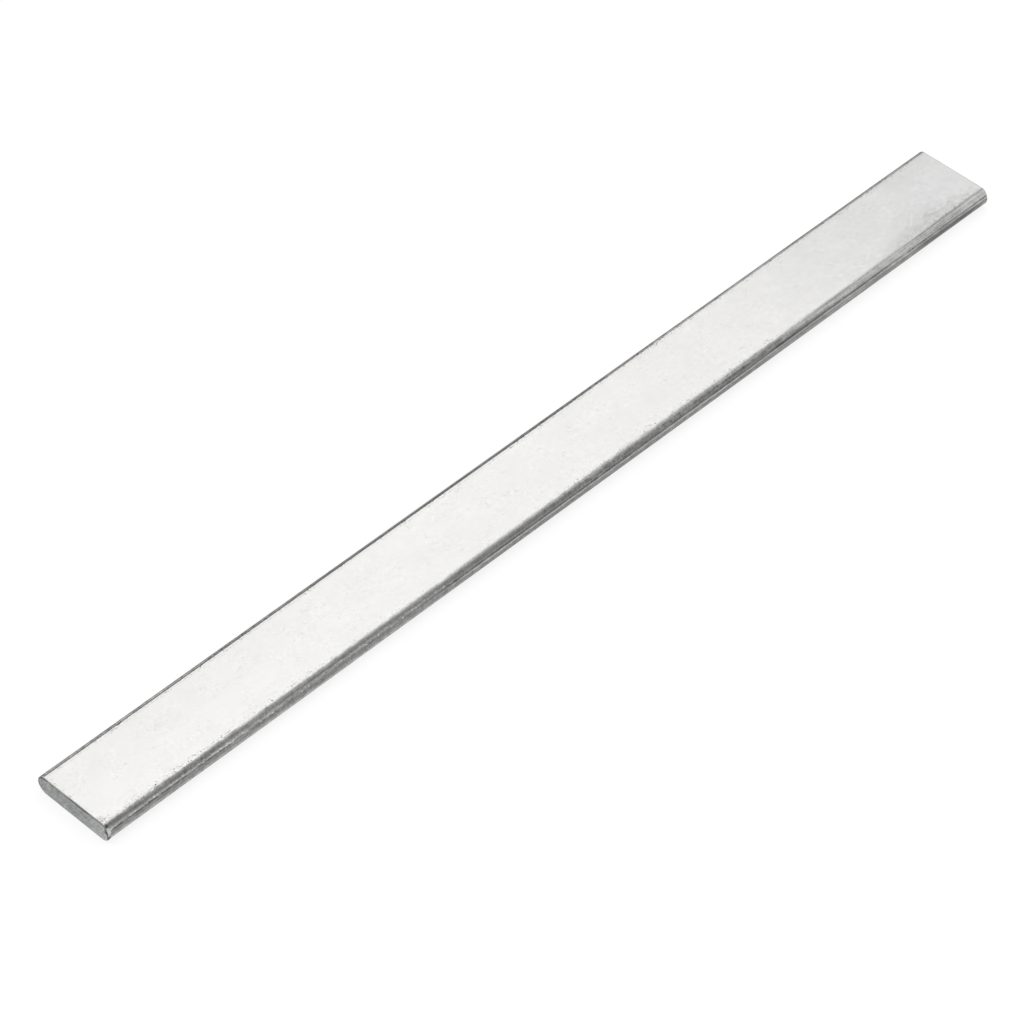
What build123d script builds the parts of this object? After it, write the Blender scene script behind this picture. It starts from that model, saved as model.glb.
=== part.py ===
"""Flat steel bar with natural rolled round edges, cut to length on a shear.

The bar lies flat along X, with its width along Y and its thickness along Z.
The origin is the centre of the underside. All sizes are in millimetres.
"""

from build123d import *
import os
from math import cos, radians, sin, sqrt, tan

# Driving dimensions of the stock
bar_length = 320.0
bar_width = 25.0
bar_thickness = 6.0

# Long edges: one full-height arc, a little flatter than a half round, so that it meets
# each face at a faint shoulder, which the rolls leave softened
edge_radius = 3.2
shoulder_radius = 1.2

# Rolling seam: a shallow longitudinal nick in each edge, just above mid-height, where the
# groove of the upper roll meets the lower one. Heights are angles on the edge arc.
seam_lip_angle = 26.0
seam_root_angle = 21.5
seam_foot_angle = 12.0
seam_depth = 0.14

# Sheared ends: the blade enters from the top, rolls that edge over, leaves a square
# burnished land, and the lower part breaks away at a small angle
rollover_radius = 0.3
fracture_height = 1.8
fracture_angle = 4.0

half_length = bar_length / 2
half_width = bar_width / 2
mid_height = bar_thickness / 2
arc_centre_y = half_width - edge_radius
face_half_width = arc_centre_y + sqrt(edge_radius**2 - mid_height**2)
fracture_setback = fracture_height * tan(radians(fracture_angle))


def edge_point(side, angle, depth=0.0):
    """A point on the edge arc of one side (+1 or -1), sunk by a depth below its surface."""
    reach = edge_radius - depth
    across = side * (arc_centre_y + reach * cos(radians(angle)))
    return (across, mid_height + reach * sin(radians(angle)))


with BuildPart() as flat_bar:
    # The rolled section: two flat faces joined by the two round edges
    with BuildSketch(Plane.YZ) as section:
        with BuildLine() as outline:
            Line((-face_half_width, 0), (face_half_width, 0))
            ThreePointArc((face_half_width, 0), (half_width, mid_height), (face_half_width, bar_thickness))
            Line((face_half_width, bar_thickness), (-face_half_width, bar_thickness))
            ThreePointArc((-face_half_width, bar_thickness), (-half_width, mid_height), (-face_half_width, 0))
        make_face()
        fillet(section.vertices(), radius=shoulder_radius)
        # The rolling seam of each edge: a steep upper lip over a long shallow foot
        for side in (1, -1):
            with BuildLine():
                Polyline(
                    edge_point(side, seam_lip_angle),
                    edge_point(side, seam_root_angle, depth=seam_depth),
                    edge_point(side, seam_foot_angle),
                    edge_point(side, seam_foot_angle, depth=-seam_depth),
                    edge_point(side, seam_lip_angle, depth=-seam_depth),
                    close=True,
                )
            make_face(mode=Mode.SUBTRACT)
    extrude(amount=half_length, both=True)

    # The side view of the sheared bar, which trims both ends at once
    with BuildSketch(Plane.XZ) as side_view:
        with BuildLine():
            Polyline(
                (-half_length + fracture_setback, 0),
                (half_length - fracture_setback, 0),
                (half_length, fracture_height),
                (half_length, bar_thickness),
                (-half_length, bar_thickness),
                (-half_length, fracture_height),
                close=True,
            )
        make_face()
        top_corners = side_view.vertices().group_by(Axis.Y)[-1]
        fillet(top_corners, radius=rollover_radius)
    extrude(amount=bar_width, both=True, mode=Mode.INTERSECT)

flat_bar.part.label = "flat_bar"

os.makedirs("parts", exist_ok=True)
export_step(flat_bar.part, "parts/flat_bar.step")
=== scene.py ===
"""Looks of the flat bar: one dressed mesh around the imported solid, its materials, light and camera.

Everything is in metres in the row frame: X along the bar, Y across it, Z up, origin at the
centre of the underside. The near end is the one at -X, and the front edge the one at -Y. Places
and lengths in the node graphs are in millimetres, and so are names ending in _MM. Angles round
an edge are in degrees: 0 at the tip of the nose, 90 on the top flat and -90 on the bottom one.
"""

from math import atan2, cos, degrees, pi, radians, sin, sqrt, tan

import bpy
import numpy as np
from mathutils import Matrix, Vector, noise


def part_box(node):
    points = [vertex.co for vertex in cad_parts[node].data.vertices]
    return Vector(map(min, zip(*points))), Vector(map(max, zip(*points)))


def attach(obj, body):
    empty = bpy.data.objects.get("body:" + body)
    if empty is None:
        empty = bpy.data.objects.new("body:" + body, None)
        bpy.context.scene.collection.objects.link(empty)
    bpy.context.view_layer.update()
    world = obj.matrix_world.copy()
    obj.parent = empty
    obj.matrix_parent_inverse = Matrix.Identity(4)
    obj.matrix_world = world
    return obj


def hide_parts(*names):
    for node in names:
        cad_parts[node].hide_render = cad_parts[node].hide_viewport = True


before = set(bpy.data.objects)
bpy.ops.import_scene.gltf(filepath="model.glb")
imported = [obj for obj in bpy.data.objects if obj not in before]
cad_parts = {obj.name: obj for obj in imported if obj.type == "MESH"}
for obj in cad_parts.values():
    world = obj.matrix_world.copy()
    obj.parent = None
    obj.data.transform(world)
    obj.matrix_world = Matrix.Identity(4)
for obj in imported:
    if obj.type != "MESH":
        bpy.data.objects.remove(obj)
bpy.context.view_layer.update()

MM = 0.001
BAR_LOW, BAR_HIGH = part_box("flat_bar")
LENGTH = BAR_HIGH.x - BAR_LOW.x
WIDTH = BAR_HIGH.y - BAR_LOW.y
THICKNESS = BAR_HIGH.z - BAR_LOW.z
HALF_LENGTH = LENGTH / 2
MID_HEIGHT = THICKNESS / 2

# The rolled section, as in the solid
EDGE_RADIUS = 3.2 * MM
SHOULDER_RADIUS = 1.2 * MM
ARC_CENTRE_Y = WIDTH / 2 - EDGE_RADIUS
SHOULDER_CENTRE_Y = ARC_CENTRE_Y + sqrt(
    (EDGE_RADIUS - SHOULDER_RADIUS) ** 2 - (MID_HEIGHT - SHOULDER_RADIUS) ** 2
)
SHOULDER_START = degrees(atan2(MID_HEIGHT - SHOULDER_RADIUS, SHOULDER_CENTRE_Y - ARC_CENTRE_Y))

# The rolling seam, as in the solid
SEAM_LIP = 26.0
SEAM_ROOT = 21.5
SEAM_FOOT = 12.0
SEAM_DEPTH = 0.14 * MM

# The sheared ends, as in the solid
ROLLOVER_RADIUS = 0.3 * MM
FRACTURE_HEIGHT = 1.8 * MM
FRACTURE_SLOPE = tan(radians(4.0))


def add_object(name, data):
    """A new object with this data, linked to the scene."""
    made = bpy.data.objects.new(name, data)
    bpy.context.scene.collection.objects.link(made)
    return made


# ---------------------------------------------------------------- camera

VIEW_AZIMUTH = radians(-46.0269)
VIEW_ELEVATION = radians(45.3399)
VIEW_ROLL = radians(0.6292)
VIEW_DISTANCE = 1.175949
VIEW_TARGET_RIGHT = -0.0077789
VIEW_TARGET_UP = -0.0083304
LENS_MM = 161.9907
SENSOR_MM = 36.0
CLIP_NEAR = 0.01
CLIP_FAR = 50


def make_camera():
    """A long lens looking down on the bar along its length, with a slight roll."""
    back = Vector(
        (
            sin(VIEW_AZIMUTH) * cos(VIEW_ELEVATION),
            -cos(VIEW_AZIMUTH) * cos(VIEW_ELEVATION),
            sin(VIEW_ELEVATION),
        )
    )
    right = Vector((cos(VIEW_AZIMUTH), sin(VIEW_AZIMUTH), 0))
    up = back.cross(right)
    rolled_right = cos(VIEW_ROLL) * right + sin(VIEW_ROLL) * up
    rolled_up = cos(VIEW_ROLL) * up - sin(VIEW_ROLL) * right
    target = VIEW_TARGET_RIGHT * right + VIEW_TARGET_UP * up
    data = bpy.data.cameras.new("camera")
    data.lens = LENS_MM
    data.sensor_width = SENSOR_MM
    data.clip_start = CLIP_NEAR
    data.clip_end = CLIP_FAR
    camera = add_object("camera", data)
    axes = Matrix((rolled_right, rolled_up, back)).transposed()
    camera.matrix_world = Matrix.Translation(target + VIEW_DISTANCE * back) @ axes.to_4x4()
    bpy.context.scene.camera = camera


# ---------------------------------------------------------------- node graphs


class Graph:
    """Short calls for building a node tree. A value is a number or the output of a node."""

    def __init__(self, tree):
        self.tree = tree
        tree.nodes.clear()

    def node(self, kind, inputs=None, **settings):
        """A new node with its settings and inputs, which are given by name or by place."""
        made = self.tree.nodes.new(kind)
        for name, value in settings.items():
            setattr(made, name, value)
        for name, value in (inputs or {}).items():
            self.feed(made.inputs[name], value)
        return made

    def feed(self, socket, value):
        """Links an output to a socket, or sets a number on it."""
        if isinstance(value, bpy.types.NodeSocket):
            self.tree.links.new(value, socket)
        else:
            socket.default_value = value

    def math(self, operation, *values):
        made = self.node("ShaderNodeMath", operation=operation)
        for socket, value in zip(made.inputs, values):
            self.feed(socket, value)
        return made.outputs[0]

    def add(self, *values):
        total = values[0]
        for value in values[1:]:
            total = self.math("ADD", total, value)
        return total

    def times(self, *values):
        product = values[0]
        for value in values[1:]:
            product = self.math("MULTIPLY", product, value)
        return product

    def minus(self, value, taken):
        return self.math("SUBTRACT", value, taken)

    def mix(self, factor, a, b):
        """A number between a, at factor 0, and b, at factor 1."""
        made = self.node("ShaderNodeMix", data_type="FLOAT")
        for index, value in ((0, factor), (2, a), (3, b)):
            self.feed(made.inputs[index], value)
        return made.outputs[0]

    def step(self, value, start, end):
        """A smooth step from 0 at start to 1 at end, where end may be the lower one."""
        made = self.node(
            "ShaderNodeMapRange",
            {"Value": value, "From Min": start, "From Max": end},
            interpolation_type="SMOOTHSTEP",
        )
        return made.outputs[0]

    def band(self, value, low, high, soft):
        """1 between low and high, falling smoothly to 0 over a distance outside them."""
        rise = self.step(value, self.minus(low, soft), low)
        return self.math("MULTIPLY", rise, self.step(value, self.add(high, soft), high))

    def ramp(self, value, stops):
        """A grey ramp over any span: stops are (position, level) pairs."""
        low, high = stops[0][0], stops[-1][0]
        place = self.node("ShaderNodeMapRange", {"Value": value, "From Min": low, "From Max": high})
        made = self.node("ShaderNodeValToRGB", {"Fac": place.outputs[0]})
        elements = made.color_ramp.elements
        elements.remove(elements[1])
        for index, (position, level) in enumerate(stops):
            spot = (position - low) / (high - low)
            element = elements.new(spot) if index else elements[0]
            element.position = spot
            element.color = (level, level, level, 1.0)
        return made.outputs[0]

    def noise(self, vector, scale, detail=2.0, roughness=0.5):
        """Noise centred on 0, within about half a unit of it.

        Scale is in cells for each millimetre, as one number or as three. With three, the noise
        runs in streaks along the axis of the smallest.
        """
        if isinstance(scale, tuple):
            inputs = {0: vector, 1: scale}
            vector = self.node("ShaderNodeVectorMath", inputs, operation="MULTIPLY").outputs[0]
            scale = 1.0
        made = self.node(
            "ShaderNodeTexNoise",
            {"Vector": vector, "Scale": scale, "Detail": detail, "Roughness": roughness},
        )
        return self.minus(made.outputs[0], 0.5)

    def combine(self, x, y, z):
        """A vector made of three numbers."""
        return self.node("ShaderNodeCombineXYZ", {0: x, 1: y, 2: z}).outputs[0]

    def tint(self, level, red, green, blue):
        """A colour of one level, with a faint cast."""
        channels = {0: self.times(level, red), 1: self.times(level, green), 2: self.times(level, blue)}
        return self.node("ShaderNodeCombineColor", channels).outputs[0]

    def bump(self, relief, depth):
        """A surface normal that follows a relief, whose unit is this deep in metres."""
        inputs = {"Strength": 1.0, "Distance": depth, "Height": relief}
        return self.node("ShaderNodeBump", inputs).outputs[0]

    def finish_metal(self, inputs):
        """Ends a material in bare metal that has these inputs."""
        bsdf = self.node("ShaderNodeBsdfPrincipled", {"Metallic": 1.0, **inputs})
        self.node("ShaderNodeOutputMaterial", {"Surface": bsdf.outputs[0]})


def new_material(name):
    material = bpy.data.materials.new(name)
    material.use_nodes = True
    graph = Graph(material.node_tree)
    return material, graph


def place_mm(graph):
    """The row-frame position in millimetres, as a vector and as x, y and z."""
    place = graph.node("ShaderNodeTexCoord").outputs["Object"]
    scaled = graph.node("ShaderNodeVectorMath", {0: place}, operation="SCALE")
    scaled.inputs["Scale"].default_value = 1 / MM
    vector = scaled.outputs[0]
    parts = graph.node("ShaderNodeSeparateXYZ", {0: vector})
    return vector, parts.outputs[0], parts.outputs[1], parts.outputs[2]


def patch(graph, x, y, place_x, place_y, size_x, size_y):
    """1 at the middle of an oval patch, falling to 0 at its rim."""
    off_x = graph.math("DIVIDE", graph.minus(x, place_x), size_x)
    off_y = graph.math("DIVIDE", graph.minus(y, place_y), size_y)
    reach = graph.add(graph.times(off_x, off_x), graph.times(off_y, off_y))
    return graph.step(reach, 1.0, 0.1)


# ---------------------------------------------------------------- tone round the edges

# Tone against the angle round an edge, as (angle, tone) stops for three stretches of each edge.
# It is partly the duller metal of the rolled edges and partly painted shade and painted
# reflection, which darken the edges. The far stretch of the front edge is its paler one, and the
# back edge is darker on its upper side, by painted shade.
UNDERSIDE = [(-90, 0.86), (-74, 0.80)]
BACK_LOWER = UNDERSIDE + [(-60, 0.38), (-34, 0.24)]
FRONT_NEAR = UNDERSIDE + [
    (-60, 0.34), (-34, 0.22), (-20, 0.37), (-12, 0.49), (-4, 0.345), (4, 0.24), (20, 0.27), (28, 0.36),
    (33, 0.53), (38, 0.36), (45, 0.28), (56, 0.33), (61, 0.54), (66, 0.79), (76, 0.85), (90, 0.93),
]
FRONT_MIDDLE = UNDERSIDE + [
    (-60, 0.30), (-34, 0.15), (-12, 0.29), (3, 0.23), (8, 0.28), (13, 0.43), (18, 0.24), (22, 0.18),
    (28, 0.22), (36, 0.28), (44, 0.31), (50, 0.38), (57, 0.50), (61, 0.68), (66, 0.84), (76, 0.87),
    (90, 0.92),
]
FRONT_FAR = UNDERSIDE + [
    (-60, 0.34), (-34, 0.22), (-14, 0.27), (-2, 0.34), (9, 0.27), (13, 0.56), (16, 0.56), (19, 0.38),
    (23, 0.38), (27, 0.34), (31, 0.66), (40, 0.67), (47, 0.79), (51, 0.70), (56, 0.50), (60, 0.37),
    (64, 0.50), (72, 0.56), (84, 0.74), (90, 0.90),
]
BACK_NEAR = BACK_LOWER + [
    (24, 0.23), (33, 0.15), (38, 0.06), (46, 0.09), (53, 0.25), (60, 0.44), (65, 0.47), (72, 0.41),
    (84, 0.27), (88, 0.28), (90, 0.90),
]
BACK_MIDDLE = BACK_LOWER + [
    (0, 0.21), (35, 0.19), (52, 0.20), (64, 0.195), (76, 0.265), (86, 0.34), (88, 0.43), (90, 0.93),
]
BACK_FAR = BACK_LOWER + [
    (24, 0.24), (33, 0.15), (38, 0.05), (46, 0.07), (59, 0.20), (66, 0.50), (73, 0.74), (82, 0.91),
    (90, 0.91),
]

# Where one stretch gives way to the next, as (from x, to x). On the upper part of the front edge
# the far stretch starts further on.
FRONT_NEAR_TO_MIDDLE = (-75, -35)
FRONT_MIDDLE_TO_FAR = (60, 105)
BACK_NEAR_TO_MIDDLE = (-125, -46)
BACK_MIDDLE_TO_FAR = (5, 65)
UPPER_PART = (56, 66)
UPPER_PART_LAG = 22

# Painted lines of light and shade along the front edge, the bright ones painted highlights and the
# dark ones painted shade, as (angle, half width, change of tone, from x, to x)
FRONT_LIGHT_AND_SHADE_LINES = [
    (51, 4.0, -0.28, -160, -157),
    (68, 7.0, 0.05, -132, -118),
    (67, 8.0, 0.09, -134, -50),
    (52, 7.0, 0.16, -112, -48),
    (21, 6.0, -0.20, -112, -48),
    (58, 4.0, -0.07, 12, 62),
    (74, 9.0, -0.06, 20, 95),
    (54, 3.5, -0.20, 76, 98),
    (47, 6.0, 0.10, 56, 82),
    (68, 6.0, -0.07, 84, 100),
    (23.5, 4.0, -0.30, 76, 114),
    (34, 5.0, -0.07, 50, 84),
    (24.5, 3.0, 0.05, 50, 76),
    (14.5, 3.5, -0.22, 78, 114),
    (26, 2.0, -0.16, 134, 160),
    (3, 6.0, -0.16, 114, 160),
    (0, 10.0, -0.40, 136, 152),
    (43, 5.0, -0.12, 138, 148),
    (72, 7.0, -0.20, 142, 160),
    (60, 4.0, 0.14, 156, 160),
    (37, 5.0, 0.08, 156, 160),
    (18, 3.0, -0.30, 160, 160),
]
LINE_FADE = 8


def front_edge_tone_and_shade(graph, angle, x):
    """The tone round the front edge, partly painted shade and reflection: three stretches, with painted
    lines of light and shade over them.
    """
    lag = graph.times(graph.step(angle, *UPPER_PART), UPPER_PART_LAG)
    near, middle, far = (graph.ramp(angle, stops) for stops in (FRONT_NEAR, FRONT_MIDDLE, FRONT_FAR))
    tone = graph.mix(graph.step(x, *FRONT_NEAR_TO_MIDDLE), near, middle)
    tone = graph.mix(graph.step(graph.minus(x, lag), *FRONT_MIDDLE_TO_FAR), tone, far)
    for place, width, change, start, end in FRONT_LIGHT_AND_SHADE_LINES:
        across = graph.band(angle, place - width, place + width, width)
        line = graph.times(across, graph.band(x, start, end, LINE_FADE))
        tone = graph.times(tone, graph.add(1.0, graph.times(line, change)))
    return tone


def back_edge_tone_and_shade(graph, angle, x):
    """The tone round the back edge, partly painted shade and reflection, in three stretches."""
    near, middle, far = (graph.ramp(angle, stops) for stops in (BACK_NEAR, BACK_MIDDLE, BACK_FAR))
    tone = graph.mix(graph.step(x, *BACK_NEAR_TO_MIDDLE), near, middle)
    return graph.mix(graph.step(x, *BACK_MIDDLE_TO_FAR), tone, far)


# ---------------------------------------------------------------- the rolled skin

# Parts of the skin, as the two values between which each one fades in
EDGE_PART = (72, 60)
FLAT_PART = (80, 89)
FRONT_PART = (2, -2)
NEAR_HALF = (0, -1)
FAR_PART = (45, 85)
OFF_EDGE_PART = (60, 72)
SHOULDER_PART = (90, 84)
LOWER_PART = (4, -8)
WORN_PART = (28, 40)
TOP_PART = (3, 5)
TOP_RIM_PART = (4.5, 5.0)

# How many degrees the borders of the bands wander and fray. They fray on the upper part, most
# of all at the near end, and they are calmer in the far part.
WANDER = 5.0
FRAY = 5.0
NEAR_FRAY = 15.0
NEAR_FRAY_ENDS = (-125, -112)
FRAY_ANGLES = (45, 60)
CALM_SHARE = 0.55
CALM_STRETCH = (50, 110)

# The share of each noise in the grain, as (before the far part, in it) where it changes
FLAT_FINE = (0.10, 0.04)
FLAT_MOTTLE = 0.11
FLAT_CLOUD = 0.10
FAR_BLOTCH = 0.08
EDGE_FINE = (1.15, 0.75)
EDGE_STREAK = (0.70, 1.90)
EDGE_COARSE = 0.70
LOWER_COARSE = 0.70
WORN_CLOUD = 1.1

# What the grain of the edges is multiplied by in the far part, and on the worn one
FAR_GRAIN = 0.75
WORN_GRAIN = 2.8

# Stretches of the edges that are rougher or smoother than the rest, as (from x, to x, fade),
# their bands round the edge, as (from angle, to angle, fade), and the change in their grain
ROUGH_STRETCH = (5, 75, 15)
ROUGH_BAND = (30, 46, 6)
ROUGH_CHANGE = 0.5
SMOOTH_STRETCH = (-75, -15, 15)
SMOOTH_BAND = (34, 62, 8)
SMOOTH_CHANGE = -0.35

# Painted shade in the front seam, broken into dashes, and painted glints at nicks on the fin above
# it: the two places along the bar between which they fade in, and their bands round the edge
DASH_STRETCH = (-112, -122)
DASH_BAND = (20.5, 24.5, 2)
NICK_STRETCH = (-30, -55)
NICK_BAND = (24, 36, 4)

# Painted shade on the flats: where the far part's darkening fades in, and the strip along the back
# border, which fades in across the bar and out along it
FAR_SHADE_STRETCH = (60, 130)
STRIP_ACROSS = (9.1, 9.8)
STRIP_ALONG = (50, 0)

# Borders of the flats: the distances from the middle, and from the near end, between which
# their specks fade in
BORDER_ACROSS = (8.9, 10.2)
BORDER_FROM_END = (2.0, 0.5)
END_BORDER_SHARE = 0.4

# How dense those specks are: everywhere, and what is added at the back, on the rough stretch,
# and along the bar, as (place where it starts, place where it is full, what it adds). On the
# shoulders they are that many times denser.
SPECKS = 0.18
BACK_SPECKS = 0.70
ROUGH_SPECKS = 0.55
SPECK_STRETCHES = [(-60, -85, 0.50), (-105, -135, 0.35), (110, 130, 0.40)]
SHOULDER_TIMES_DENSER = 1.7

# Dark scale at the near end, as bands round the edge and the distances from the end between
# which it fades in: in both corners, and at the front on the tip and on the seam's lip
SCALE_CORNER_BAND = (46, 58, 6)
SCALE_CORNER_REACH = (1.3, 0.6)
SCALE_CORNER_SHARE = 0.85
SCALE_TIP_BAND = (-26, -8, 6)
SCALE_TIP_REACH = (0.9, 0.5)
SCALE_LIP_BAND = (6, 42, 6)
SCALE_LIP_REACH = (0.26, 0.12)

# The knocked facet of the near end, which reaches further from the end as the angle rises. Its
# tone, brighter than the edge round it, is partly a painted glint.
FACET_BAND = (-4, 29, 5)
FACET_WIDENS = (-6, 14)
FACET_LEAST_REACH = 0.30
FACET_MOST_REACH = 1.15
FACET_RIM = (0.06, 0.24)
FACET_FADE = 0.3
FACET_GLINT_TONE = 0.55

# The rolled-over top edge of the ends
ROLLED_REACH = (0.17, 0.05)
ROLLED_RAGGED = 0.20
ROLLED_FAR_TONE = 0.70
ROLLED_NEAR_BACK_TONE = 0.66
ROLLED_NEAR_FRONT_TONE = 0.42
ROLLED_NEAR_CHANGE = (1.8, 0.3)

# Marks on the flats, as (x, y, reach along x, reach along y)
FAR_SMUDGE = (139, -12.0, 27, 6.5)
FAR_BULGE = (138, -5.5, 12, 5)
FAR_BACK_CORNER = (150, 9, 14, 6)
FAR_COOL_PATCH = (149, -0.5, 11, 9)
NEAR_FROST = (-159.7, -9.6, 1.9, 1.9)

# How far the outlines of the first three are broken up, along the bar and across it
BROKEN_ALONG = 14.0
BROKEN_ACROSS = 5.0

# Long light marks scuffed into the far part of the top, as (x, y, heading, length, bow)
SCUFFS = [
    (105.0, -5.6, radians(-42), 6.6, 0.030),
    (112.5, -7.8, radians(-34), 6.0, 0.025),
    (108.5, -2.2, radians(-62), 5.0, -0.020),
    (118.0, -6.4, radians(28), 6.0, 0.012),
    (136.5, -5.4, radians(38), 6.5, 0.010),
]
SCUFF_HALF_WIDTH = 0.12
SCUFF_SOFTNESS = 0.30

# The share of the tone that each dark mark takes away, and the tone that each light one adds.
# The far loss, the back border's loss and the dashes' loss are painted shade, and the nicks' gain
# is painted glints.
PIT_LOSS = 0.045
FAR_LOSS = 0.09
BACK_BORDER_LOSS = 0.05
DARK_SPECK_LOSS = 0.52
DASH_SHADE_LOSS = 0.58
SMUDGE_LOSS = 0.17
PATCH_LOSS = 0.035
SCALE_LOSS = 0.72
FROST_LOSS = 0.24
NICK_GLINT_GAIN = 0.34
SCUFF_GAIN = 0.055
LIGHT_SPECK_GAIN = 0.08

# The lightest that the skin may be
TONE_LIMIT = 0.98

# The cast of the metal, as (green, blue) beside a red of 1, and what the cool patch adds to blue
PLAIN_CAST = (0.998, 0.988)
WARM_CAST = (0.992, 0.972)
WARM_STRETCH = (140, 50)
COOL_BLUE = 0.016

FLAT_ROUGHNESS = 0.19
EDGE_ROUGHNESS = 0.27
SKIN_RELIEF = 0.03 * MM
GLANCING_TINT = (0.7, 0.7, 0.7, 1.0)


class Skin:
    """What the marks on the rolled skin share: the place on the bar, the parts it belongs to,
    each as a number from 0 to 1, and the noises that more than one of them follows."""

    def __init__(self, graph):
        self.vector, self.x, self.y, self.z = place_mm(graph)
        self.angle = graph.node("ShaderNodeAttribute", attribute_name="edge_angle").outputs["Fac"]
        self.height = graph.math("ABSOLUTE", self.angle)
        self.from_end = graph.minus(HALF_LENGTH / MM, graph.math("ABSOLUTE", self.x))

        self.edge = graph.step(self.height, *EDGE_PART)
        self.flat = graph.step(self.height, *FLAT_PART)
        self.front = graph.step(self.y, *FRONT_PART)
        self.back = graph.minus(1.0, self.front)
        self.near_half = graph.step(self.x, *NEAR_HALF)
        self.far = graph.step(self.x, *FAR_PART)

        self.fine = graph.noise(self.vector, 1.5, detail=3.0, roughness=0.6)
        self.coarse = graph.noise(self.vector, (0.45, 0.8, 0.8))
        self.streak = graph.noise(self.vector, (0.05, 3.2, 3.2))
        self.cloud = graph.noise(self.vector, (0.10, 0.14, 0.14), detail=3.0, roughness=0.6)
        self.dots = graph.noise(self.vector, (0.90, 2.0, 2.0), roughness=0.6)
        self.mottle = graph.noise(self.vector, 0.75, roughness=0.6)
        self.crowded = graph.mix(graph.step(graph.noise(self.vector, 0.14), -0.07, 0.09), 0.35, 1.45)


def wandering_angle(graph, skin):
    """The angle round the edge, shifted so that the borders of its bands wander and fray."""
    calm = graph.mix(graph.step(skin.x, *CALM_STRETCH), 1.0, CALM_SHARE)
    fray = graph.mix(graph.step(skin.x, *NEAR_FRAY_ENDS), NEAR_FRAY, FRAY)
    fray = graph.times(graph.step(skin.angle, *FRAY_ANGLES), fray)
    shift = graph.add(graph.times(skin.coarse, WANDER), graph.times(skin.dots, fray))
    return graph.add(skin.angle, graph.times(shift, skin.edge, calm))


def flat_grain(graph, skin):
    """The faint grain of the flats, which crowds into patches, under clouds and far blotches."""
    fine = graph.times(skin.fine, graph.mix(skin.far, *FLAT_FINE))
    grain = graph.add(fine, graph.times(skin.mottle, FLAT_MOTTLE))
    clouds = graph.times(skin.cloud, FLAT_CLOUD)
    blotches = graph.times(graph.noise(skin.vector, 0.30), skin.far, FAR_BLOTCH)
    return graph.add(graph.times(grain, skin.crowded), clouds, blotches)


def edge_grain(graph, skin):
    """The stronger grain of the edges, with streaks along the bar."""
    fine = graph.times(skin.fine, graph.mix(skin.far, *EDGE_FINE))
    streaks = graph.times(skin.streak, graph.mix(skin.far, *EDGE_STREAK))
    grain = graph.add(fine, graph.times(skin.coarse, EDGE_COARSE), streaks)

    # The upper side of the back edge is worn, and the lower side of both is blotchy
    worn = graph.times(skin.back, graph.step(skin.angle, *WORN_PART))
    grain = graph.times(grain, graph.mix(skin.far, 1.0, FAR_GRAIN), graph.mix(worn, 1.0, WORN_GRAIN))
    grain = graph.add(grain, graph.times(skin.cloud, worn, WORN_CLOUD))
    lower = graph.step(skin.angle, *LOWER_PART)
    grain = graph.add(grain, graph.times(skin.coarse, lower, LOWER_COARSE))

    rougher = graph.times(graph.band(skin.x, *ROUGH_STRETCH), graph.band(skin.angle, *ROUGH_BAND))
    smoother = graph.times(graph.band(skin.x, *SMOOTH_STRETCH), graph.band(skin.angle, *SMOOTH_BAND))
    rougher = graph.times(rougher, ROUGH_CHANGE)
    smoother = graph.times(smoother, SMOOTH_CHANGE)
    return graph.times(grain, graph.add(1.0, rougher, smoother))


def flat_pits_and_shade(graph, skin):
    """Loss of tone on the flats: small pits, and painted shade over the far end and in a strip along
    the back border that fades out past the middle of the bar."""
    pits = graph.step(graph.noise(skin.vector, 0.60), 0.12, 0.22)
    pit_loss = graph.times(graph.times(pits, skin.crowded), PIT_LOSS)
    far_shade_loss = graph.times(graph.step(skin.x, *FAR_SHADE_STRETCH), FAR_LOSS)
    strip = graph.times(graph.step(skin.y, *STRIP_ACROSS), graph.step(skin.x, *STRIP_ALONG))
    return graph.times(skin.flat, graph.add(pit_loss, far_shade_loss, graph.times(strip, BACK_BORDER_LOSS)))


def border_specks(graph, skin):
    """Dark specks, as a loss, and light ones, as a gain, crowded along the borders of the flats."""
    long_strip = graph.step(graph.math("ABSOLUTE", skin.y), *BORDER_ACROSS)
    end_strip = graph.times(skin.near_half, graph.step(skin.from_end, *BORDER_FROM_END))
    border = graph.math("MAXIMUM", long_strip, graph.times(end_strip, END_BORDER_SHARE))
    border = graph.times(graph.step(skin.height, *OFF_EDGE_PART), border)

    busy = graph.add(
        SPECKS,
        graph.times(skin.back, BACK_SPECKS),
        graph.times(graph.band(skin.x, *ROUGH_STRETCH), ROUGH_SPECKS),
        *(graph.times(graph.step(skin.x, start, full), more) for start, full, more in SPECK_STRETCHES),
    )
    clumps = graph.add(0.45, graph.step(graph.noise(skin.vector, 0.22), -0.08, 0.14))
    shoulder = graph.step(skin.height, *SHOULDER_PART)
    busy = graph.times(busy, clumps, graph.mix(shoulder, 1.0, SHOULDER_TIMES_DENSER))

    dust = graph.noise(skin.vector, 2.6, roughness=0.7)
    specks = graph.add(graph.times(skin.dots, 0.5), graph.times(dust, 0.8))
    dark = graph.times(border, busy, graph.step(specks, 0.05, 0.15), DARK_SPECK_LOSS)
    light = graph.times(border, busy, graph.step(specks, -0.05, -0.14), LIGHT_SPECK_GAIN)
    return dark, light


def seam_shade_dashes(graph, skin):
    """Painted shade in the groove of the front seam towards the near end, broken into dashes."""
    broken = graph.step(graph.noise(skin.vector, (0.75, 1.0, 1.0)), -0.05, 0.05)
    near = graph.times(skin.front, graph.step(skin.x, *DASH_STRETCH))
    return graph.times(near, graph.band(skin.angle, *DASH_BAND), broken, DASH_SHADE_LOSS)


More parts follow.
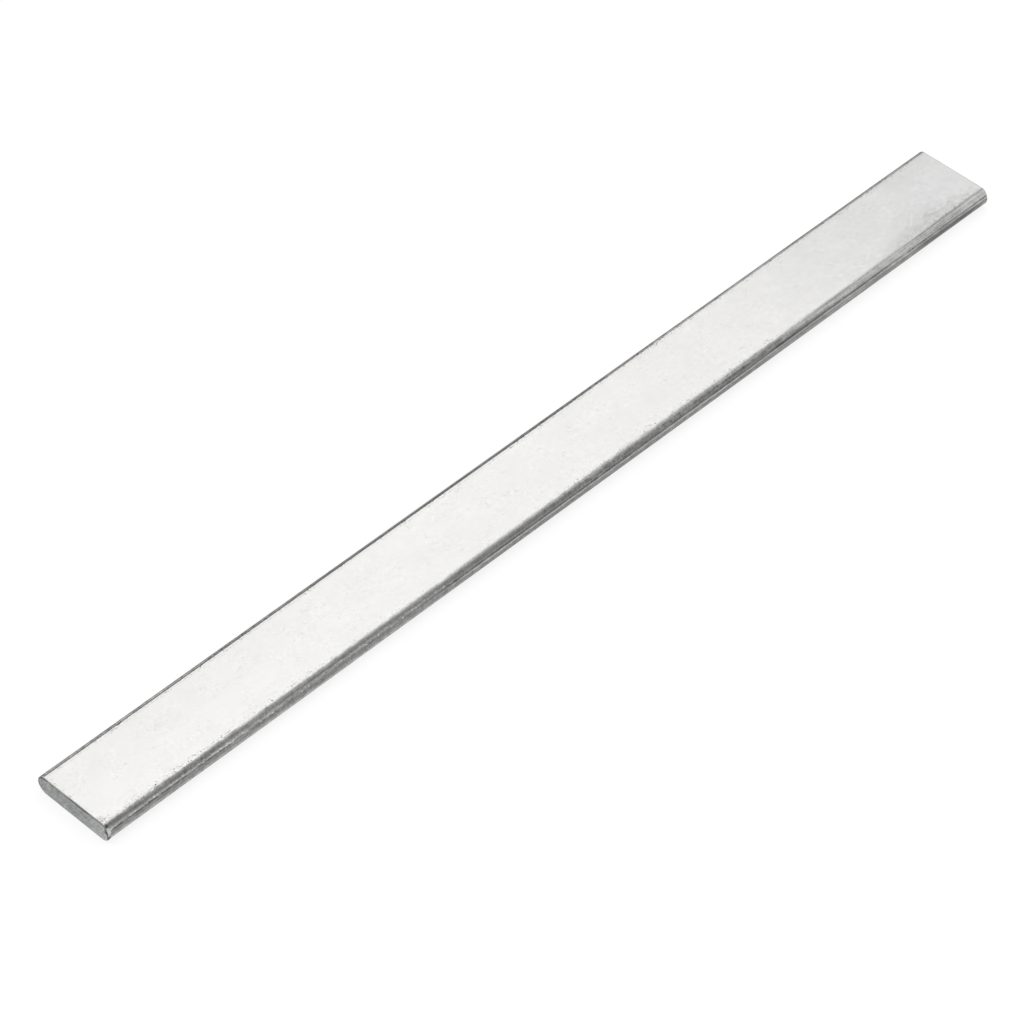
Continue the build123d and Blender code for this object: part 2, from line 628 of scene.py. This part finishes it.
def fin_glints(graph, skin):
    """Painted glints at nicks on the fin above the front seam, over the near third."""
    scattered = graph.step(graph.noise(skin.vector, (1.1, 2.0, 2.0), detail=1.0), 0.08, 0.20)
    near = graph.times(skin.front, graph.step(skin.x, *NICK_STRETCH))
    return graph.times(near, graph.band(skin.angle, *NICK_BAND), scattered, NICK_GLINT_GAIN)


def far_patches(graph, skin):
    """Losses of tone at the far end of the flats: the smudged front corner, the dull patch beside
    it and the back corner, all with broken outlines."""
    broken_x = graph.add(skin.x, graph.times(skin.mottle, BROKEN_ALONG))
    broken_y = graph.add(skin.y, graph.times(skin.mottle, BROKEN_ACROSS))
    smudge, bulge, back_corner = (
        graph.times(skin.flat, patch(graph, broken_x, broken_y, *mark))
        for mark in (FAR_SMUDGE, FAR_BULGE, FAR_BACK_CORNER)
    )
    uneven = graph.add(graph.times(skin.coarse, 1.1), graph.times(skin.dots, 0.8), 0.90)
    smudge_loss = graph.times(graph.times(smudge, uneven), SMUDGE_LOSS)
    return smudge_loss, graph.times(bulge, PATCH_LOSS), graph.times(back_corner, PATCH_LOSS)


def scuff(graph, skin, place_x, place_y, heading, length, bow):
    """1 along one bowed scuff mark on the top, fading to 0 a little way off it."""
    off_x = graph.minus(skin.x, place_x)
    off_y = graph.minus(skin.y, place_y)
    along = graph.add(graph.times(off_x, cos(heading)), graph.times(off_y, sin(heading)))
    across = graph.minus(graph.times(off_y, cos(heading)), graph.times(off_x, sin(heading)))
    across = graph.minus(across, graph.times(along, along, bow))
    reach = graph.band(along, -length / 4, length / 4, length / 4)
    return graph.times(reach, graph.band(across, -SCUFF_HALF_WIDTH, SCUFF_HALF_WIDTH, SCUFF_SOFTNESS))


def far_scuffs(graph, skin):
    """Gain of tone along the scuff marks, on the top alone."""
    marks = graph.add(*(scuff(graph, skin, *mark) for mark in SCUFFS))
    uneven = graph.add(0.9, graph.times(skin.dots, 3.0))
    return graph.times(marks, skin.flat, graph.step(skin.z, *TOP_PART), uneven, SCUFF_GAIN)


def near_end_marks(graph, skin):
    """Losses of tone at the near end: dark scale in its corners, and a dull spot on the flats."""
    corner, tip, lip = (
        graph.times(graph.step(skin.from_end, *reach), graph.band(skin.angle, *band))
        for reach, band in (
            (SCALE_CORNER_REACH, SCALE_CORNER_BAND),
            (SCALE_TIP_REACH, SCALE_TIP_BAND),
            (SCALE_LIP_REACH, SCALE_LIP_BAND),
        )
    )
    scale = graph.times(skin.front, graph.add(tip, lip))
    scale = graph.add(graph.times(corner, SCALE_CORNER_SHARE), scale)
    frost = graph.times(skin.flat, patch(graph, skin.x, skin.y, *NEAR_FROST))
    return graph.times(skin.near_half, scale, SCALE_LOSS), graph.times(frost, FROST_LOSS)


def with_facet(graph, skin, tone):
    """The tone with the knocked facet at the front corner of the near end, of bare metal painted bright:
    partly a painted glint.
    """
    widened = graph.step(skin.angle, *FACET_WIDENS)
    reach = graph.mix(widened, FACET_LEAST_REACH, FACET_MOST_REACH)
    facet = graph.step(graph.minus(skin.from_end, reach), 0.0, -FACET_FADE)
    facet = graph.times(facet, skin.near_half, skin.front, graph.band(skin.angle, *FACET_BAND))
    facet = graph.times(facet, graph.step(skin.from_end, *FACET_RIM))
    return graph.mix(facet, tone, graph.add(FACET_GLINT_TONE, graph.times(skin.fine, 0.5)))


def with_rolled_ends(graph, skin, tone):
    """The tone with the top edge of each end, rolled over by the shear: pale at the far end, and
    at the near one darker towards the front."""
    ragged = graph.noise(skin.vector, (0.0, 1.1, 0.0), detail=3.0)
    ragged_end = graph.add(skin.from_end, graph.times(ragged, ROLLED_RAGGED))
    rolled = graph.step(ragged_end, *ROLLED_REACH)
    rolled = graph.times(rolled, graph.step(skin.z, *TOP_RIM_PART))
    towards_front = graph.step(skin.y, *ROLLED_NEAR_CHANGE)
    near_tone = graph.mix(towards_front, ROLLED_NEAR_BACK_TONE, ROLLED_NEAR_FRONT_TONE)
    return graph.mix(rolled, tone, graph.mix(skin.near_half, ROLLED_FAR_TONE, near_tone))


def skin_tone(graph, skin):
    """The tone of the rolled skin: its bands, partly painted shade and reflection, and grain, then its
    marks, some of them painted shade and glints, then its ends.
    """
    angle = wandering_angle(graph, skin)
    tone = graph.mix(
        skin.front,
        back_edge_tone_and_shade(graph, angle, skin.x),
        front_edge_tone_and_shade(graph, angle, skin.x),
    )
    grain = graph.mix(skin.edge, flat_grain(graph, skin), edge_grain(graph, skin))
    tone = graph.times(tone, graph.add(grain, 1.0))

    dark_specks, light_specks = border_specks(graph, skin)
    losses = [flat_pits_and_shade(graph, skin), dark_specks, seam_shade_dashes(graph, skin)]
    losses += [*far_patches(graph, skin), *near_end_marks(graph, skin)]
    tone = graph.times(tone, graph.minus(1.0, graph.add(*losses)))
    tone = graph.add(tone, fin_glints(graph, skin), far_scuffs(graph, skin), light_specks)

    tone = with_facet(graph, skin, tone)
    tone = with_rolled_ends(graph, skin, tone)
    return graph.math("MINIMUM", tone, TONE_LIMIT)


def skin_colour(graph, skin):
    """The skin's tone with a faint cast: warm on the flats, in clouds, fading towards the far
    end, where a patch is cooler."""
    clouds = graph.add(1.0, graph.times(skin.cloud, 2.0))
    warm = graph.times(skin.flat, graph.step(skin.x, *WARM_STRETCH), clouds)
    cool = graph.times(skin.flat, patch(graph, skin.x, skin.y, *FAR_COOL_PATCH))
    green, blue = (graph.mix(warm, *casts) for casts in zip(PLAIN_CAST, WARM_CAST))
    blue = graph.add(blue, graph.times(cool, COOL_BLUE))
    return graph.tint(skin_tone(graph, skin), 1.0, green, blue)


def rolled_zinc():
    """Zinc on rolled steel: pale flats, and round edges darker partly for their duller metal and partly
    by painted shade and reflection, with painted lines of light and shade along them.
    """
    material, graph = new_material("rolled_zinc")
    skin = Skin(graph)
    roughness = graph.mix(skin.edge, FLAT_ROUGHNESS, EDGE_ROUGHNESS)
    roughness = graph.add(roughness, graph.times(skin.coarse, 0.10), graph.times(skin.fine, 0.08))
    relief = graph.add(
        skin.fine,
        graph.times(skin.coarse, skin.edge, 0.8),
        graph.times(skin.streak, skin.edge, 0.5),
    )
    relief = graph.times(relief, graph.mix(skin.edge, graph.times(skin.crowded, 0.14), 1.0))
    graph.finish_metal(
        {
            "Base Color": skin_colour(graph, skin),
            "Roughness": roughness,
            "Specular Tint": GLANCING_TINT,
            "Normal": graph.bump(relief, SKIN_RELIEF),
        }
    )
    return material


# ---------------------------------------------------------------- the cut ends

CUT_TONE = 0.30
CUT_DARK = 0.04
CUT_DARK_MOST = 0.98
CUT_CAST = (0.975, 1.01, 1.0)
CUT_ROUGHNESS = 0.42
CUT_RELIEF = 0.05 * MM

# The marks of the shear lean towards the front as they rise, and are finer across than down
MARK_LEAN = 0.75
MARK_SCALE_ACROSS = 2.6
MARK_SCALE_DOWN = 0.35

# The dark line under the top edge: how far below it the line starts and stops, and its fade
# outside them. It is heavier over one stretch, as (from y, to y, fade), and at the back corner,
# where that fades in between two places. A heavy line starts higher and stops lower.
TOP_LINE_START = 0.32
TOP_LINE_STOP = 0.64
TOP_LINE_FADE = 0.16
TOP_LINE_RAGGED = 0.8
HEAVY_STRETCH = (-4.8, 0.8, 1.5)
HEAVY_CORNER = (8.6, 9.8)
HEAVY_START = 0.10
HEAVY_STOP = 0.14

# Parts of the cut, as the two places across it between which each one fades in
PALE_SIDE = (-3.5, -8.0)
FRONT_NOSE = (-7.5, -11.0)
FRONT_TIP = (-10.2, -11.4)
FRONT_RIM = (-9.6, -10.6)
BACK_RIM = (10.0, 11.0)
BACK_RIM_SHARE = 0.6

# The same in height, and in distance inwards from the outline of the noses
TIP_BELOW = (3.4, 2.4)
RIM_ABOVE = (1.3, 1.9)
RIM_INSET = (0.50, 0.30)

# The chipped corner over the front nose, as (y, z, reach along y, reach along z)
CUT_NOTCH = (-12.15, 3.95, 1.35, 1.4)


def with_top_line(graph, vector, y, z, tone):
    """The tone of the cut with the dark ragged line just under its top edge."""
    below_top = graph.minus(THICKNESS / MM, z)
    ragged = graph.noise(vector, (0.0, 1.1, 0.0), detail=3.0)
    corner = graph.times(graph.step(y, *HEAVY_CORNER), 1.5)
    heavy = graph.add(graph.band(y, *HEAVY_STRETCH), corner)
    start = graph.minus(TOP_LINE_START, graph.times(heavy, HEAVY_START))
    stop = graph.add(TOP_LINE_STOP, graph.times(heavy, HEAVY_STOP))
    depth = graph.add(below_top, graph.times(ragged, TOP_LINE_RAGGED))
    line = graph.band(depth, start, stop, TOP_LINE_FADE)
    strength = graph.add(0.76, graph.times(ragged, 1.2), graph.times(heavy, 0.22))
    share = graph.math("MINIMUM", graph.times(line, strength), CUT_DARK_MOST)
    return graph.mix(share, tone, CUT_DARK)


def with_noses(graph, x, y, z, tone):
    """The tone of the cut, paler towards the front nose. At the near end both noses have a dark
    rim, the fainter one at the back, and the chipped corner is a dark notch."""
    paler = graph.times(graph.step(y, *PALE_SIDE), 0.14)
    nose = graph.times(graph.step(y, *FRONT_TIP), graph.step(z, *TIP_BELOW))
    nose = graph.add(graph.step(y, *FRONT_NOSE), nose)
    tone = graph.times(tone, graph.add(1.0, paler, graph.times(nose, 0.20)))

    out = graph.math("MAXIMUM", graph.minus(graph.math("ABSOLUTE", y), ARC_CENTRE_Y / MM), 0.0)
    rise = graph.minus(z, MID_HEIGHT / MM)
    reach = graph.math("SQRT", graph.add(graph.times(out, out), graph.times(rise, rise)))
    inset = graph.minus(EDGE_RADIUS / MM, reach)
    rim = graph.times(graph.step(inset, *RIM_INSET), graph.step(z, *RIM_ABOVE))
    back_rim = graph.times(graph.step(y, *BACK_RIM), BACK_RIM_SHARE)
    rim = graph.times(rim, graph.add(graph.step(y, *FRONT_RIM), back_rim))
    rim = graph.math("MAXIMUM", rim, patch(graph, y, z, *CUT_NOTCH))
    rim = graph.times(rim, graph.step(x, *NEAR_HALF))
    return graph.mix(graph.times(rim, 0.9), tone, CUT_DARK)


def sheared_steel():
    """The cut ends: dull grey steel with fine marks down the cut."""
    material, graph = new_material("sheared_steel")
    vector, x, y, z = place_mm(graph)
    slant = graph.add(y, graph.times(z, MARK_LEAN))
    squeezed = graph.combine(0.0, graph.times(slant, MARK_SCALE_ACROSS), graph.times(z, MARK_SCALE_DOWN))
    marks = graph.noise(squeezed, 1.0, detail=3.0, roughness=0.65)
    blotch = graph.noise(vector, (0.0, 0.5, 0.7), detail=3.0)
    grain = graph.noise(vector, 3.0)
    tone = graph.add(CUT_TONE, graph.times(marks, 0.40), graph.times(blotch, 0.38))
    tone = graph.add(tone, graph.times(grain, 0.70))
    tone = with_top_line(graph, vector, y, z, tone)
    tone = with_noses(graph, x, y, z, tone)
    roughness = graph.add(CUT_ROUGHNESS, graph.times(marks, 0.20), graph.times(blotch, 0.15))
    relief = graph.add(marks, graph.times(grain, 0.5))
    graph.finish_metal(
        {
            "Base Color": graph.tint(tone, *CUT_CAST),
            "Roughness": roughness,
            "Normal": graph.bump(relief, CUT_RELIEF),
        }
    )
    return material


# ---------------------------------------------------------------- the bar's mesh

# Steps round an edge between these angles: closer together at the seam and the shoulder
ABOVE_SEAM = 34.0
EDGE_STEPS = [
    (0.0, SEAM_FOOT, 7),
    (SEAM_FOOT, SEAM_ROOT, 6),
    (SEAM_ROOT, SEAM_LIP, 4),
    (SEAM_LIP, ABOVE_SEAM, 6),
    (ABOVE_SEAM, SHOULDER_START, 13),
    (SHOULDER_START, 90.0, 8),
]
FLAT_STEPS = 12
END_ROWS = 14
STATION_FIRST = 0.05 * MM
STATION_GROWTH = 1.12
STATION_MOST = 0.85 * MM
CREASE_ANGLE = radians(35)

# The front corner of the near end, knocked back to a small facet above a slight burr. Each part
# rises between the first two angles and falls between the last two. At that end, the seam and
# the fin of both edges fade in over the clearing.
KNOCK_DEPTH = 0.40 * MM
KNOCK_REACH = 1.00 * MM
KNOCK_LEAST_REACH = 0.3
KNOCK_ANGLES = (-14, 22, 33, 44)
KNOCK_CLEARING = (0.4 * KNOCK_REACH, 1.4 * KNOCK_REACH)
BURR_RISE = 0.12 * MM
BURR_REACH = 1.5 * MM
BURR_ANGLES = (-50, -32, -28, -12)

# How the seam wanders up and down each edge, in degrees, and where along the bar it does so.
# The surface shifts with it in full between the middle two angles, and not at all past the
# outer two.
SEAM_CLIMB = 4.5
SEAM_CLIMB_SPAN = (55 * MM, 95 * MM)
SEAM_FALL = 3.0
SEAM_FALL_SPAN = (108 * MM, 150 * MM)
SEAM_DIP_SPAN = (-40 * MM, -90 * MM)
SEAM_SWAY = 0.8
SEAM_SWAY_LONG = 30 * MM
SEAM_SWAY_SHORT = 4 * MM
SEAM_FREE_ANGLES = (-10, 10, 32, 52)

# How deep the seam is cut: it is shallow where it fades out, and uneven everywhere
SEAM_SHALLOW = 0.35
SEAM_FADED_SPAN = (-125 * MM, -110 * MM, -60 * MM, -40 * MM)
SEAM_UNEVEN = 0.6
SEAM_UNEVEN_LENGTH = 2.5 * MM

# The broken fin that stands just above the seam: its height along the bar varies about a mean,
# as shares of the full height, and where that falls below 0 there is no fin
FIN_ANGLE = 30.0
FIN_HALF_WIDTH = 2.5
FIN_HEIGHT = 0.05 * MM
FIN_MEAN = 0.5
FIN_VARIES = 1.2
FIN_LENGTH = 1.8 * MM
FIN_SPAN = (-50 * MM, -75 * MM)

# The faint unevenness of the rolled edge: its mean depth, its waves as (length along the bar,
# degrees round the edge, share of the mean, lane), and the angles between which it fades in
EDGE_WAVE = 0.012 * MM
EDGE_WAVES = [(7 * MM, 14, 0.7, 3.0), (1.6 * MM, 6, 0.3, 6.0)]
EDGE_WAVE_ANGLES = (80, 55)

# The uneven rollover along the top of each end, and how far along the bar the fracture's
# setback is spread
ROLLOVER_UNEVEN = 0.5
ROLLOVER_UNEVEN_LENGTH = 1.1 * MM
ROLLOVER_LANE = 3.0
FRACTURE_REACH = 4 * MM


def smooth(value, start, end):
    """A smooth step from 0 at start to 1 at end, where end may be the lower one."""
    part = min(max((value - start) / (end - start), 0.0), 1.0)
    return part * part * (3 - 2 * part)


def between(value, rise_start, rise_end, fall_start, fall_end):
    """1 between the middle two values, falling smoothly to 0 at the outer two."""
    return smooth(value, rise_start, rise_end) * smooth(value, fall_end, fall_start)


def wave(x, length, side, lane, row):
    """Smooth noise along one edge, from -1 to 1. Its uses have a lane and a row each, so that no
    two of them look alike."""
    return noise.noise(Vector((x / length, side * lane, row)))


def quarter_angles():
    """Angles of the upper half of one edge, from the tip up to the flat."""
    angles = [0.0]
    for start, end, count in EDGE_STEPS:
        angles.extend(start + (end - start) * i / count for i in range(1, count + 1))
    return angles


def section_loop():
    """The section as (side, y, angle) entries: the upper half from +Y to -Y, then the lower one.

    Side is 1 or -1 on an edge and 0 on a flat, and y is only used on the flats. Also returns
    how many entries the upper half has.
    """
    rising = quarter_angles()
    flat_spots = [SHOULDER_CENTRE_Y * (1 - 2 * i / FLAT_STEPS) for i in range(1, FLAT_STEPS)]
    upper = [(1, 0.0, angle) for angle in rising]
    upper += [(0, y, 90.0) for y in flat_spots]
    upper += [(-1, 0.0, angle) for angle in reversed(rising)]
    lower = [(side, y, -angle) for side, y, angle in upper]
    return upper + lower[-2:0:-1], len(upper)


def edge_point(side, angle):
    """A point of the edge in its own section, and its outward normal, as y, z, ny, nz."""
    turn = radians(abs(angle))
    if abs(angle) <= SHOULDER_START:
        out = ARC_CENTRE_Y + EDGE_RADIUS * cos(turn)
        rise = EDGE_RADIUS * sin(turn)
    else:
        out = SHOULDER_CENTRE_Y + SHOULDER_RADIUS * cos(turn)
        rise = MID_HEIGHT - SHOULDER_RADIUS + SHOULDER_RADIUS * sin(turn)
    upward = 1 if angle >= 0 else -1
    return side * out, MID_HEIGHT + upward * rise, side * cos(turn), upward * sin(turn)


def seam_drift(x, side):
    """How many degrees the seam lies above its drawn place.

    It dips a little over the near third, climbs in the far one and then falls part way back.
    """
    sway = SEAM_SWAY * wave(x, SEAM_SWAY_LONG, side, lane=5.0, row=0.0)
    sway += SEAM_SWAY * wave(x, SEAM_SWAY_SHORT, side, lane=5.0, row=2.0)
    climb = SEAM_CLIMB * smooth(x, *SEAM_CLIMB_SPAN) - SEAM_FALL * smooth(x, *SEAM_FALL_SPAN)
    return climb - smooth(x, *SEAM_DIP_SPAN) + sway


def seam_cut(x, side, angle):
    """Depth of the seam at its drawn angle: shallow and broken up where it fades out."""
    cut = np.interp(angle, [SEAM_FOOT, SEAM_ROOT, SEAM_LIP], [0.0, SEAM_DEPTH, 0.0])
    faded = between(x, *SEAM_FADED_SPAN)
    uneven = 1 + SEAM_UNEVEN * wave(x, SEAM_UNEVEN_LENGTH, side, lane=9.0, row=3.0)
    return cut * uneven * (1 - (1 - SEAM_SHALLOW) * faded)


def fin_rise(x, side, angle):
    """Height of the broken fin that stands just above the seam over the near third."""
    across = max(0.0, 1 - abs(angle - FIN_ANGLE) / FIN_HALF_WIDTH)
    along = FIN_MEAN + FIN_VARIES * wave(x, FIN_LENGTH, side, lane=4.0, row=8.0)
    return FIN_HEIGHT * across * max(along, 0.0) * smooth(x, *FIN_SPAN)


def edge_wave(x, side, angle):
    """The faint unevenness of the rolled edge, which never stands proud of it."""
    depth = 1.0
    for length, turn, share, lane in EDGE_WAVES:
        depth += share * noise.noise(Vector((x / length, angle / turn, side * lane)))
    return EDGE_WAVE * smooth(abs(angle), *EDGE_WAVE_ANGLES) * depth


def corner_knock(x, angle):
    """How far the front corner of the near end is pressed in, or stands proud where negative."""
    from_end = x + HALF_LENGTH
    facet = between(angle, *KNOCK_ANGLES)
    reach = KNOCK_REACH * (KNOCK_LEAST_REACH + (1 - KNOCK_LEAST_REACH) * facet)
    pressed = KNOCK_DEPTH * facet * max(0.0, 1 - from_end / reach)
    burr = between(angle, *BURR_ANGLES)
    return pressed - BURR_RISE * burr * smooth(from_end, BURR_REACH, 0.0)


def bar_point(x, side, y, angle):
    """The y and z of one point of the long surface, before the ends are cut."""
    if side == 0:
        return y, THICKNESS if angle > 0 else 0.0
    free = between(angle, *SEAM_FREE_ANGLES)
    y, z, ny, nz = edge_point(side, angle + seam_drift(x, side) * free)
    sunk = edge_wave(x, side, angle)
    if angle > 0:
        clear = smooth(x + HALF_LENGTH, *KNOCK_CLEARING)
        sunk += clear * (seam_cut(x, side, angle) - fin_rise(x, side, angle))
    if side < 0:
        sunk += corner_knock(x, angle)
    return y - ny * sunk, z - nz * sunk


def stations():
    """Places along the bar: close together at the ends, spread out between them."""
    steps = [0.0]
    gap = STATION_FIRST
    while steps[-1] < HALF_LENGTH:
        steps.append(steps[-1] + gap)
        gap = min(gap * STATION_GROWTH, STATION_MOST)
    inward = np.array(steps) * HALF_LENGTH / steps[-1]
    left = -HALF_LENGTH + inward
    return np.concatenate([left, -left[-2::-1]])


def end_cut(x, y, z):
    """Moves a point of the plain bar to where the shear left it, and returns its x and z."""
    end = 1 if x > 0 else -1
    from_end = HALF_LENGTH - abs(x)
    ragged = noise.noise(Vector((end * ROLLOVER_LANE, y / ROLLOVER_UNEVEN_LENGTH, 0.0)))
    radius = ROLLOVER_RADIUS * (1 + ROLLOVER_UNEVEN * ragged)
    if from_end < radius:
        short = radius - from_end
        cap = THICKNESS - radius + sqrt(max(radius**2 - short**2, 0.0))
        z = min(z, cap)
    if z < FRACTURE_HEIGHT:
        setback = (FRACTURE_HEIGHT - z) * FRACTURE_SLOPE
        x -= end * setback * smooth(from_end, FRACTURE_REACH, 0.0)
    return x, z


def long_surface(xs, loop):
    """The skin: one section of vertices at each station, their angles, and the faces between."""
    vertices = []
    angles = []
    for x in xs:
        for side, flat_y, angle in loop:
            y, z = bar_point(x, side, flat_y, angle)
            cut_x, cut_z = end_cut(x, y, z)
            vertices.append((cut_x, y, cut_z))
            angles.append(angle)
    count = len(loop)
    faces = []
    for section in range(len(xs) - 1):
        for spot in range(count):
            here = section * count + spot
            beside = section * count + (spot + 1) % count
            faces.append((here, here + count, beside + count, beside))
    return vertices, angles, faces


def end_columns(end, first, count, upper_count, vertices, angles):
    """Columns of vertices down one end, from each spot of the upper half to the one below it.

    First is the vertex that the end's section starts at. The vertices between the two halves
    are added to the lists. A column at a tip of the section is its single vertex, twice.
    """
    columns = []
    for spot in range(upper_count):
        top = first + spot
        at_tip = spot in (0, upper_count - 1)
        bottom = top if at_tip else first + count - spot
        column = [top]
        if not at_tip:
            high = Vector(vertices[top])
            low = Vector(vertices[bottom])
            for row in range(1, END_ROWS):
                y = high.y + (low.y - high.y) * row / END_ROWS
                z = high.z + (low.z - high.z) * row / END_ROWS
                x, z = end_cut(end * HALF_LENGTH, y, z)
                column.append(len(vertices))
                vertices.append((x, y, z))
                angles.append(0.0)
        column.append(bottom)
        columns.append(column)
    return columns


def end_faces(end, columns):
    """Faces between the columns of one end, facing out, which are triangles at the tips."""
    faces = []
    for left, right in zip(columns, columns[1:]):
        for row in range(END_ROWS):
            walk = ((left, row), (left, row + 1), (right, row + 1), (right, row))
            corners = [column[min(place, len(column) - 1)] for column, place in walk]
            if end > 0:
                corners.reverse()
            corners = tuple(dict.fromkeys(corners))
            if len(corners) > 2:
                faces.append(corners)
    return faces


def bar_mesh():
    """The bar's mesh: the rolled skin in the first material slot, the cut ends in the second."""
    loop, upper_count = section_loop()
    xs = stations()
    count = len(loop)
    vertices, angles, faces = long_surface(xs, loop)
    skin_count = len(faces)
    for end, first in ((-1, 0), (1, (len(xs) - 1) * count)):
        columns = end_columns(end, first, count, upper_count, vertices, angles)
        faces += end_faces(end, columns)
    mesh = bpy.data.meshes.new("bar_surface")
    mesh.from_pydata(vertices, [], faces)
    mesh.validate()
    mesh.attributes.new("edge_angle", "FLOAT", "POINT").data.foreach_set("value", angles)
    mesh.polygons.foreach_set("use_smooth", [True] * len(mesh.polygons))
    slots = [0] * skin_count + [1] * (len(mesh.polygons) - skin_count)
    mesh.polygons.foreach_set("material_index", slots)
    mesh.set_sharp_from_angle(angle=CREASE_ANGLE)
    mesh.update()
    return mesh


def make_bar():
    bar = add_object("bar_surface", bar_mesh())
    bar.data.materials.append(rolled_zinc())
    bar.data.materials.append(sheared_steel())
    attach(bar, "root")
    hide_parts("flat_bar")


# ---------------------------------------------------------------- floor and light

FLOOR_RADIUS = 6.0
FLOOR_SIDES = 96

# The floor's own colour, which is what light bounces off, and what the camera and reflections
# see instead: a darker colour, which takes the bar's soft shadow, lifted to white by a glow
FLOOR_COLOUR = (0.85, 0.85, 0.85, 1)
SEEN_FLOOR_COLOUR = (0.3, 0.3, 0.3, 1)
SEEN_FLOOR_GLOW = 0.78
WHITE = (1, 1, 1, 1)

# The sky against the height of the direction, from 0 at the horizon to 1 overhead: stops are
# (height, share of white), and the rest is the dim belt. Its level changes from front to back
# between two values of the direction's y.
DOME_STOPS = [
    (0.12, 1.0), (0.17, 0.0), (0.56, 0.0), (0.60, 0.35), (0.64, 0.90), (0.66, 1.0), (0.80, 1.0),
]
BELT_FRONT_LEVEL = 0.55
BELT_BACK_LEVEL = 0.45
BELT_FRONT_TO_BACK = (-0.35, 0.35)


def make_floor():
    """A plain white floor that still takes the bar's soft shadow."""
    turns = [2 * pi * i / FLOOR_SIDES for i in range(FLOOR_SIDES)]
    ring = [(FLOOR_RADIUS * cos(turn), FLOOR_RADIUS * sin(turn), 0) for turn in turns]
    mesh = bpy.data.meshes.new("floor")
    mesh.from_pydata(ring, [], [tuple(range(FLOOR_SIDES))])
    floor = add_object("floor", mesh)
    material, graph = new_material("floor")
    rays = graph.node("ShaderNodeLightPath").outputs
    seen = graph.math("MAXIMUM", rays["Is Camera Ray"], rays["Is Glossy Ray"])
    seen = graph.math("MAXIMUM", seen, rays["Is Transmission Ray"])
    plain = graph.node("ShaderNodeBsdfDiffuse", {"Color": FLOOR_COLOUR})
    darker = graph.node("ShaderNodeBsdfDiffuse", {"Color": SEEN_FLOOR_COLOUR})
    glow = graph.node("ShaderNodeEmission", {"Color": WHITE, "Strength": SEEN_FLOOR_GLOW})
    lifted = graph.node("ShaderNodeAddShader", {0: darker.outputs[0], 1: glow.outputs[0]})
    mixed = graph.node("ShaderNodeMixShader", {0: seen, 1: plain.outputs[0], 2: lifted.outputs[0]})
    graph.node("ShaderNodeOutputMaterial", {"Surface": mixed.outputs[0]})
    floor.data.materials.append(material)


def make_light():
    """A white studio dome over a dim belt, with white again at the horizon. The belt is dimmer
    at the back (+Y) than in front."""
    world = bpy.data.worlds.new("studio")
    bpy.context.scene.world = world
    world.use_nodes = True
    graph = Graph(world.node_tree)
    direction = graph.node("ShaderNodeTexCoord").outputs["Generated"]
    parts = graph.node("ShaderNodeSeparateXYZ", {0: direction}).outputs
    dome = graph.ramp(parts[2], DOME_STOPS)
    behind = graph.step(parts[1], *BELT_FRONT_TO_BACK)
    belt = graph.mix(behind, BELT_FRONT_LEVEL, BELT_BACK_LEVEL)
    level = graph.mix(dome, belt, 1.0)
    sky = graph.node("ShaderNodeBackground", {"Color": graph.tint(level, 1, 1, 1), "Strength": 1.0})
    graph.node("ShaderNodeOutputWorld", {"Surface": sky.outputs[0]})


def main():
    make_camera()
    make_light()
    make_floor()
    make_bar()
    scene = bpy.context.scene
    scene.view_settings.view_transform = "Standard"


main()
